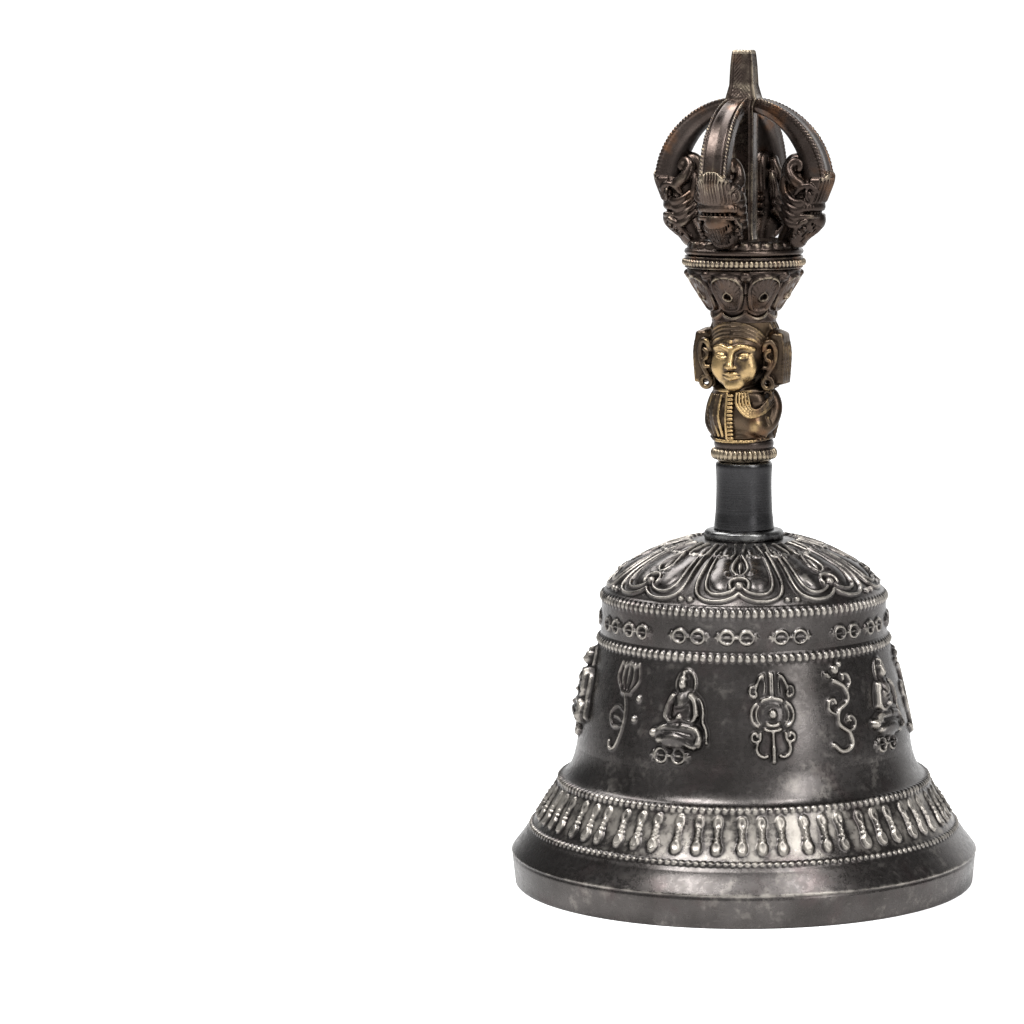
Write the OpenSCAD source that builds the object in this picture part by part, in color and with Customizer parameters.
// Tibetan hand bell: a cast bronze bell with a half-vajra handle stacked on a
// tie rod, and a clapper hung inside on a loop and a link.
// The origin is at the centre of the rim's foot, +Z runs up the handle, and the
// carved face of the handle looks along -Y.

/* [Bell] */
// Radius of the widest edge of the lip
lip_r = 47.5; // [45:0.1:50]
// Radius of the lip where it stands
foot_r = 46.8; // [44:0.1:49]
// Height of the upright band of the lip
rim_h = 6.5; // [4:0.1:8]
// Radius of the mouth, inside the lip
mouth_r = 42.5; // [40:0.1:43]
// Height of the seat for the handle, on top of the dome
seat_z = 70.2; // [69.8:0.1:70.6]
// Radius of the hole through the crown
crown_hole_r = 3.1; // [2.8:0.05:3.4]

/* [Handle] */
// Turn of the carved handle from the front, about the bell's axis
handle_turn = -20.5; // [-45:0.5:45]
// Radius of the tie rod that holds the handle to the bell
rod_r = 2.4; // [2:0.05:2.8]
// Radial gap between the tie rod and what is threaded on it
rod_gap = 0.05; // [0.02:0.01:0.1]
// Height of the stem sleeve's top
stem_top_z = 85.8; // [85.2:0.1:86.2]
// Height of the foot ring's top
foot_ring_top_z = 90.2; // [89.8:0.1:90.4]
// Height of the shoulders, where the head starts
neck_z = 100.7; // [100.2:0.1:101.2]
// Height of the head's top, where the lotus cup starts
head_top_z = 114.2; // [113.8:0.1:114.6]
// Height of the lotus cup's top
lotus_top_z = 124.9; // [124.6:0.1:125.2]
// Height of the beaded ring's top
bead_ring_top_z = 127.6; // [127.3:0.1:127.8]
// Height of the prong seat's rim
seat_ring_top_z = 129.4; // [129.2:0.1:129.6]

/* [Vajra crown] */
// Height of the centre of the cage that the prongs make
cage_z = 141.5; // [141.2:0.1:141.8]
// Outer radius of the cage
cage_r = 18.6; // [18.2:0.1:19]
// Height of the cage above its centre
cage_h = 18; // [17.6:0.1:18.4]
// Width of a prong, across its curve
prong_w = 5.6; // [4.8:0.1:5.8]
// Thickness of a prong, from its outer to its inner face
prong_t = 4.7; // [4.2:0.1:4.9]
// Height of the tip of the centre prong
tip_z = 168.5; // [166:0.1:171]
// Half the diagonal of the centre prong inside the cage
bar_corner_r = 2.9; // [2.6:0.05:3]

/* [Clapper] */
// Radius of the wire of the hanging loops
wire_r = 0.9; // [0.75:0.05:0.95]
// Radius of the hanging loops, to the centre of the wire
loop_r = 3.4; // [3.2:0.05:3.5]
// Height of the staple loop's lowest wire centre, which the link hangs on
staple_z = 51.5; // [51:0.1:52]
// Height of the centre of the clapper's bob
bob_z = 15; // [14:0.1:18]
// Radius of the clapper's bob
bob_r = 6.5; // [6:0.1:7]

/* [Hidden] */

$fn = 64;
bronze = [0.30, 0.26, 0.24];
dark_steel = [0.27, 0.27, 0.26];
brass = [0.52, 0.40, 0.20];
brown = [0.34, 0.24, 0.18];
iron = [0.33, 0.31, 0.30];

bore_r = rod_r + rod_gap;
// What hangs in a loop stays this far from the loop's wire.
loop_gap = 0.15;
// The link's top wire rests on the staple's bottom wire, and the clapper's eye
// takes the link's bottom wire in the same way.
link_top_z = staple_z + 2 * wire_r + loop_gap;
link_z = link_top_z - loop_r;
link_bottom_z = link_z - loop_r;
eye_top_z = link_bottom_z + 2 * wire_r + loop_gap;
eye_z = eye_top_z - loop_r;
staple_centre_z = staple_z + loop_r;
nut_h = 4;
washer_h = 1.2;
// The crown's underside, inside the bell, where the washer bears.
crown_inside_z = seat_z - 3.2;
nut_bottom_z = crown_inside_z - washer_h - nut_h;
rod_bottom_z = nut_bottom_z - 1;
rod_top_z = seat_ring_top_z - 1.5;
// Height of the seat's flat top, where the makaras and the centre prong stand.
seat_top_z = seat_ring_top_z + 1.3;
makara_w = 7;

function lerp(a, b, t) = a + (b - a) * t;
// Points along a cubic curve from a to d, with b and c as its handles.
function curve(a, b, c, d, n = 8) =
    [for (i = [0 : n]) let (t = i / n, s = 1 - t)
        s * s * s * a + 3 * s * s * t * b + 3 * s * t * t * c + t * t * t * d];
// Points round part of an ellipse, from angle from to angle to.
function ellipse_arc(centre, rx, ry, from, to, n = 12) =
    [for (i = [0 : n]) let (a = lerp(from, to, i / n))
        centre + [rx * cos(a), ry * sin(a)]];
// A half-round moulding that stands out of a wall.
function bead(centre, r, n = 6) = ellipse_arc(centre, r, r, -90, 90, n);

// A ring of round wire, its hole along Y when upright.
module wire_ring(centre_z, ring_r, wire) {
    translate([0, 0, centre_z])
        rotate([90, 0, 0])
            rotate_extrude() translate([ring_r, 0]) circle(r = wire, $fn = 24);
}

// ---- The bell -------------------------------------------------------------

bell_outside = concat(
    [[foot_r, 0], [lip_r, rim_h]],
    curve([lip_r, rim_h], [46.4, 8.2], [45, 9.8], [44.2, 11.0]),
    bead([43.7, 11.8], 0.7),
    curve([43.2, 12.7], [41.4, 14.6], [39.8, 17.4], [37.9, 20.7]),
    bead([37.5, 21.4], 0.6),
    curve([36.9, 22.1], [35.7, 22.9], [34.8, 24.8], [34.2, 28]),
    curve([34.2, 28], [33.4, 33.5], [31.8, 40], [29.7, 48.8]),
    bead([29.4, 50], 0.8),
    [[29.2, 50.9], [28.9, 57.8]],
    bead([28.6, 58.8], 0.7),
    curve([28.2, 59.8], [25.6, 63.6], [18, 69], [9.2, seat_z]),
    [[crown_hole_r, seat_z]]);

bell_inside = concat(
    [[crown_hole_r, crown_inside_z]],
    curve([8, crown_inside_z], [16, 66.2], [23.4, 61.8], [25.4, 56.8]),
    curve([25.8, 52.8], [26.6, 44], [28.4, 36], [30.6, 28]),
    curve([30.6, 28], [32, 22], [35.4, 16], [38.4, 10]),
    curve([38.4, 10], [40, 6.5], [41.4, 3], [mouth_r, 0]));

module bell_shell() {
    color(bronze)
        rotate_extrude() polygon(concat(bell_outside, bell_inside));
}

// ---- The stem -------------------------------------------------------------

collar_r = 7.8;
collar_h = 1.9;
collar_top_z = seat_z + collar_h;

module sleeve_collar() {
    color(dark_steel)
        rotate_extrude()
            polygon([[bore_r, seat_z], [collar_r - 0.2, seat_z],
                     [collar_r, seat_z + 0.3], [collar_r, collar_top_z - 0.6],
                     [collar_r - 0.6, collar_top_z], [bore_r, collar_top_z]]);
}

module stem_sleeve() {
    side = concat(
        curve([6, collar_top_z], [5.75, 75], [5.5, 77], [5.45, 80]),
        curve([5.45, 80], [5.45, 82], [5.5, 84], [5.6, stem_top_z - 0.3], 5),
        [[5.4, stem_top_z]]);
    color(dark_steel)
        rotate_extrude()
            polygon(concat([[bore_r, collar_top_z]], side, [[bore_r, stem_top_z]]));
}

// ---- The carved handle ----------------------------------------------------

module foot_ring() {
    side = concat([[5.4, stem_top_z]],
                  curve([5.7, stem_top_z + 0.4], [6.7, 86.6], [6.6, 88.4], [5.9, 88.9]),
                  [[6, foot_ring_top_z]]);
    color(brass)
        rotate_extrude()
            polygon(concat([[bore_r, stem_top_z]], side, [[bore_r, foot_ring_top_z]]));
}

// A robed bust: round shoulders over a narrow waist, and a strand of beads in front.
module bust() {
    side = concat(
        curve([5.8, foot_ring_top_z], [7.1, 91.4], [7.7, 93], [7.6, 95.6]),
        curve([7.6, 95.6], [7.5, 97.8], [7, 99.6], [6.2, neck_z]));
    color(brass)
        rotate([0, 0, handle_turn])
        difference() {
            union() {
                rotate_extrude()
                    polygon(concat([[0, foot_ring_top_z]], side, [[0, neck_z]]));
                for (i = [0 : 6])
                    translate([0, -6.9 - 0.4 * sin(180 * i / 6), 91.4 + 1.15 * i])
                        sphere(r = 0.8, $fn = 24);
            }
            translate([0, 0, foot_ring_top_z - 1]) cylinder(r = bore_r, h = 20);
        }
}

// A head with a plain oval face, lobes of hair at its sides, ears and earrings.
module head() {
    mid_z = (neck_z + head_top_z) / 2;
    color(brass)
        rotate([0, 0, handle_turn])
        difference() {
            intersection() {
                union() {
                    translate([0, -1, mid_z]) sphere(r = 7.5);
                    translate([0, 1.5, mid_z]) sphere(r = 7.4);
                    for (side = [-1, 1]) {
                        translate([side * 7.1, -0.4, mid_z + 0.4])
                            rotate([90, 0, 0]) cylinder(r = 2.7, h = 6.6, center = true);
                        translate([side * 6.9, -0.4, mid_z - 2.4])
                            rotate([90, 0, 0]) cylinder(r = 2.6, h = 5.4, center = true);
                        translate([side * 7.2, -2.6, mid_z]) sphere(r = 1.9, $fn = 32);
                        translate([side * 7, -3.2, mid_z - 4.4])
                            rotate([90, 0, 0])
                                rotate_extrude() translate([1.1, 0]) circle(r = 0.5, $fn = 20);
                    }
                }
                translate([0, 0, neck_z]) cylinder(r = 12, h = head_top_z - neck_z);
            }
            translate([0, 0, neck_z - 1]) cylinder(r = bore_r, h = 20);
        }
}

// A cup of eight petals, each with a raised boss round a small hole.
module lotus_cup() {
    petals = 8;
    cup_foot_r = 6.5;
    cup_r = 11.6;
    side = concat([[6.4, head_top_z]],
                  curve([cup_foot_r, head_top_z + 0.4], [6.4, 116.6], [8.4, 118.4], [cup_r, 124.2]),
                  [[cup_r, lotus_top_z]]);
    color(brown)
        difference() {
            union() {
                rotate_extrude()
                    polygon(concat([[0, head_top_z]], side, [[0, lotus_top_z]]));
                for (i = [0 : petals - 1])
                    rotate([0, 0, handle_turn + 360 / petals * i])
                        translate([0, -8.3, 120]) rotate([124, 0, 0])
                            difference() {
                                cylinder(r = 3.1, h = 1.5, center = true);
                                translate([0, 0, 0.2]) cylinder(r = 0.5, h = 1.2);
                            }
            }
            translate([0, 0, head_top_z - 1]) cylinder(r = bore_r, h = 20);
        }
}

module lotus_bead_ring() {
    mid_z = (lotus_top_z + bead_ring_top_z) / 2;
    ring_r = 11.4;
    color(brass)
        rotate_extrude()
            polygon([[bore_r, lotus_top_z], [ring_r, lotus_top_z], [ring_r + 0.6, mid_z],
                     [ring_r, bead_ring_top_z], [bore_r, bead_ring_top_z]]);
}

// The plate that carries the prongs: a thin rim, then a low raised table.
module prong_seat() {
    rim_r = 12;
    rim_bead_r = 0.7;
    color(brown)
        difference() {
            rotate_extrude()
                polygon(concat(
                    [[0, bead_ring_top_z]],
                    bead([rim_r - rim_bead_r, bead_ring_top_z + rim_bead_r], rim_bead_r),
                    curve([rim_r - 0.9, seat_ring_top_z - 0.4], [11, seat_ring_top_z],
                          [10.6, seat_top_z], [9.6, seat_top_z], 5),
                    [[0, seat_top_z]]));
            translate([0, 0, bead_ring_top_z - 1])
                cylinder(r = bore_r, h = rod_top_z - bead_ring_top_z + 1 + rod_gap);
        }
}

// ---- The half vajra -------------------------------------------------------

// Extrudes a side view, drawn as [distance from the axis, height], to width w
// across the direction that is turned from the front.
module upright(turn, w) {
    rotate([0, 0, turn + handle_turn])
        rotate([90, 0, -90])
            linear_extrude(height = w, center = true) children();
}

module prong_side() {
    foot_a = -26;
    tip_a = 82;
    polygon(concat(
        ellipse_arc([0, cage_z], cage_r, cage_h, foot_a, tip_a, 20),
        ellipse_arc([0, cage_z], cage_r - prong_t, cage_h - prong_t + 1, tip_a - 1, foot_a, 20)));
}

// One prong: a bar bent along the cage, from its makara's mouth to the centre prong.
module prong(turn) {
    color(brown) upright(turn, prong_w) prong_side();
}

// The head of a sea monster, which the prong grows out of: the throat, the snout
// folded up outside the prong, and the curled crest on the inner side.
module makara_side() {
    throat_r = 7.4;
    polygon(concat(
        [[throat_r, seat_top_z], [11.6, seat_top_z]],
        curve([11.6, seat_top_z], [13.4, 131.6], [15.8, 133], [16.6, 135.4]),
        curve([16.6, 135.4], [16.9, 137.4], [17.6, 138.6], [18.8, 141.4]),
        curve([18.8, 141.4], [19.6, 143.4], [19.2, 144.6], [18, 144.8], 5),
        curve([13.8, 145.4], [12.6, 147.6], [10.2, 147.2], [9.8, 144.6]),
        curve([9.8, 144.6], [9.6, 141.6], [9.4, 138.4], [8.4, 135]),
        [[throat_r + 0.2, 132.8]]));
}

module makara(turn) {
    color(brass)
        difference() {
            upright(turn, makara_w) makara_side();
            upright(turn, prong_w) prong_side();
        }
}

// The square bar up the middle of the cage, which flares into a blunt tip.
module centre_prong() {
    flare_z = cage_z + cage_h - 1.4;
    flare_corner_r = bar_corner_r + 1.2;
    tip_corner_r = 2.7;
    crown_h = 1.2;
    bar_twist = 52.5;
    color(brown)
        difference() {
            rotate([0, 0, handle_turn + bar_twist]) {
                translate([0, 0, seat_top_z])
                    cylinder(r = bar_corner_r, h = flare_z - seat_top_z, $fn = 4);
                translate([0, 0, flare_z])
                    cylinder(r1 = flare_corner_r, r2 = tip_corner_r,
                             h = tip_z - crown_h - flare_z, $fn = 4);
                translate([0, 0, tip_z - crown_h])
                    cylinder(r1 = tip_corner_r, r2 = 1.7, h = crown_h, $fn = 4);
            }
            for (turn = [0 : 90 : 270]) upright(turn, prong_w) prong_side();
        }
}

// ---- Inside ---------------------------------------------------------------

module tie_rod() {
    color(iron)
        translate([0, 0, rod_bottom_z]) cylinder(r = rod_r, h = rod_top_z - rod_bottom_z);
}

module crown_washer() {
    color(iron)
        translate([0, 0, crown_inside_z - washer_h])
            difference() {
                cylinder(r = 7, h = washer_h);
                translate([0, 0, -1]) cylinder(r = bore_r, h = washer_h + 2);
            }
}

module crown_nut() {
    color(iron)
        translate([0, 0, nut_bottom_z])
            difference() {
                cylinder(r = 5.2, h = nut_h, $fn = 6);
                translate([0, 0, -1]) cylinder(r = bore_r, h = nut_h + 2);
            }
}

// The loop under the rod's end.
module clapper_staple() {
    shank_bottom_z = staple_centre_z + loop_r - wire_r;
    color(iron)
        union() {
            wire_ring(staple_centre_z, loop_r, wire_r);
            translate([0, 0, shank_bottom_z + 0.3])
                cylinder(r = 1.2, h = rod_bottom_z - shank_bottom_z - 0.3);
        }
}

module clapper_link() {
    color(iron)
        rotate([0, 0, 90]) wire_ring(link_z, loop_r, wire_r);
}

module clapper_rod() {
    rod_wire_r = 1.3;
    rod_top = eye_z - loop_r + 0.2;
    color(iron)
        union() {
            wire_ring(eye_z, loop_r, wire_r);
            translate([0, 0, bob_z + bob_r]) cylinder(r = rod_wire_r, h = rod_top - bob_z - bob_r);
        }
}

// A cast ball with a short neck and a small button under it.
module clapper_bob() {
    color(bronze)
        union() {
            difference() {
                union() {
                    translate([0, 0, bob_z]) sphere(r = bob_r);
                    translate([0, 0, bob_z]) cylinder(r = 2.6, h = bob_r);
                }
                translate([0, 0, bob_z + bob_r]) cylinder(r = 10, h = 10);
            }
            translate([0, 0, bob_z - bob_r - 0.8]) cylinder(r = 1.8, h = 2);
        }
}

bell_shell();
sleeve_collar();
stem_sleeve();
foot_ring();
bust();
head();
lotus_cup();
lotus_bead_ring();
prong_seat();
prong(0);  // prong_front
prong(90);  // prong_right
prong(180);  // prong_back
prong(270);  // prong_left
makara(0);  // makara_front
makara(90);  // makara_right
makara(180);  // makara_back
makara(270);  // makara_left
centre_prong();
tie_rod();
crown_washer();
crown_nut();
clapper_staple();
clapper_link();
clapper_rod();
clapper_bob();
